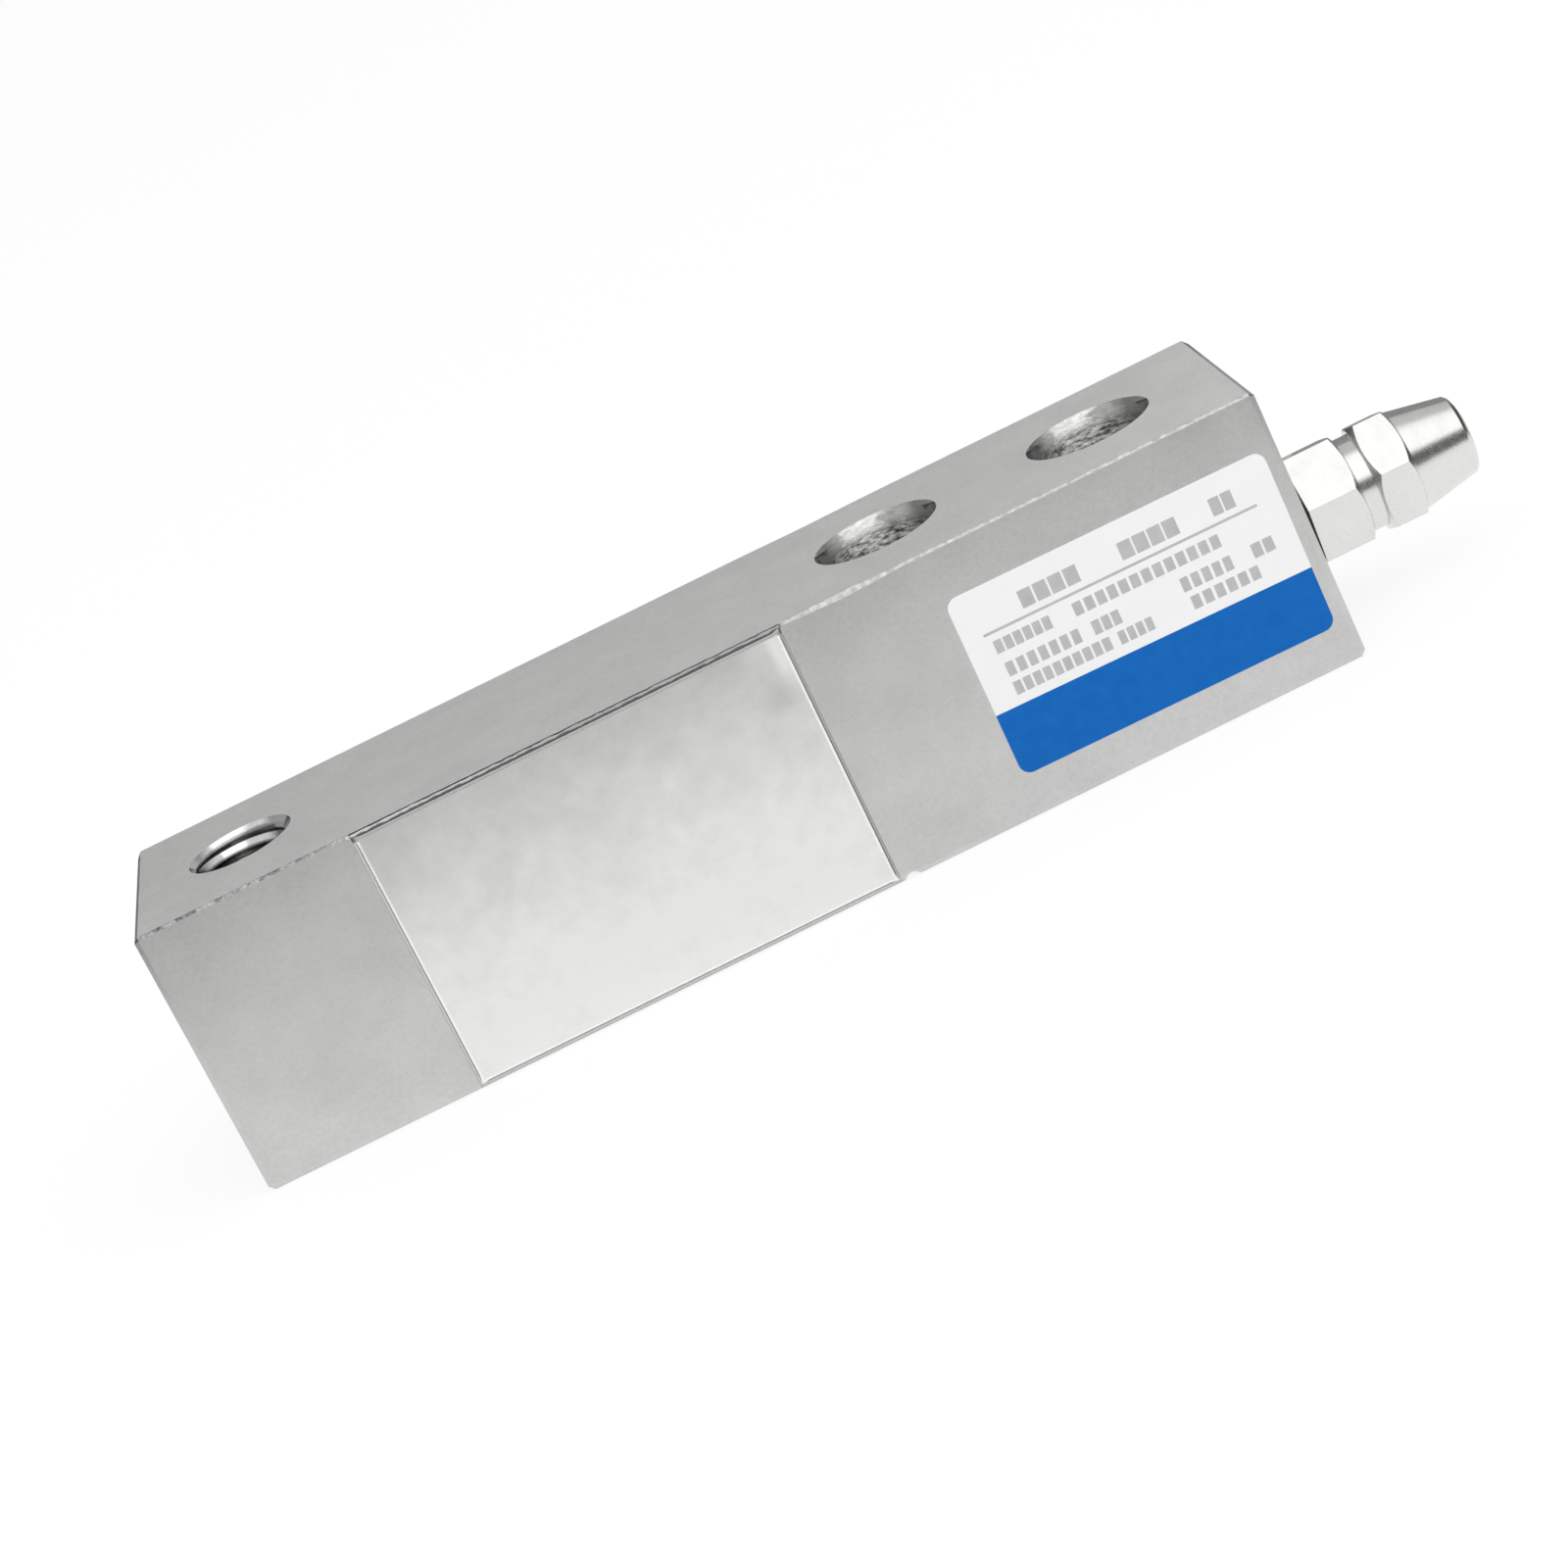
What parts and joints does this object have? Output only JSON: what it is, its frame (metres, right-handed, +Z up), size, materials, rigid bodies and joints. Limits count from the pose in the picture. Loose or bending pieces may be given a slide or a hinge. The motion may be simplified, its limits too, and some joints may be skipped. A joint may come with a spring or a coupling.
{
  "type": "shear-beam load cell",
  "caption": "Square steel shear beam with sealed side pockets, load and mounting holes, a side label and a metal cable gland at the fixed end.",
  "frame": {"origin": "middle of the two mounting holes, on the beam's bottom face", "axes": "+X along the beam to the cable gland at the fixed end, -Y out of the labelled front, +Z up"},
  "size_m": [0.1515, 0.032, 0.0318],
  "materials": {
    "beam_steel": "fine satin, nickel-plated alloy steel",
    "cover_steel": "satin stainless sheet",
    "potting": "soft silicone compound",
    "gauge_film": "amber polyimide film",
    "gauge_foil": "etched constantan foil",
    "nickel_patch": "nickel foil on film",
    "terminal_board": "glass-filled epoxy",
    "solder": "tinned copper",
    "resistor_winding": "enamelled winding on a ceramic spool",
    "wire_enamel": "enamelled copper wire",
    "plug_steel": "blackened steel set screw",
    "washer_rubber": "matt black rubber",
    "gland_metal": "nickel-plated brass, turned",
    "claw_plastic": "black nylon",
    "seal_rubber": "black nitrile rubber",
    "label_film": "white film with a blue band"
  },
  "bodies": {
    "root": {"beam_body": "beam_steel", "front_cover": "cover_steel", "rear_cover": "cover_steel", "front_potting": "potting", "rear_potting": "potting", "front_gauge_carrier": "gauge_film", "rear_gauge_carrier": "gauge_film", "front_gauge_foil": "gauge_foil", "rear_gauge_foil": "gauge_foil", "front_compensation_patch": "nickel_patch", "rear_compensation_patch": "nickel_patch", "front_terminal_strip": "terminal_board", "rear_terminal_strip": "terminal_board", "front_solder_pads": "solder", "rear_solder_pads": "solder", "front_trim_resistor": "resistor_winding", "rear_trim_resistor": "resistor_winding", "front_bridge_wires": "wire_enamel", "rear_bridge_wires": "wire_enamel", "link_wires": "wire_enamel", "wire_way_plug": "plug_steel", "gland_washer": "washer_rubber", "gland_body": "gland_metal", "gland_nut": "gland_metal", "gland_claw": "claw_plastic", "gland_seal": "seal_rubber", "rating_label": "label_film"}
  },
  "joints": []
}
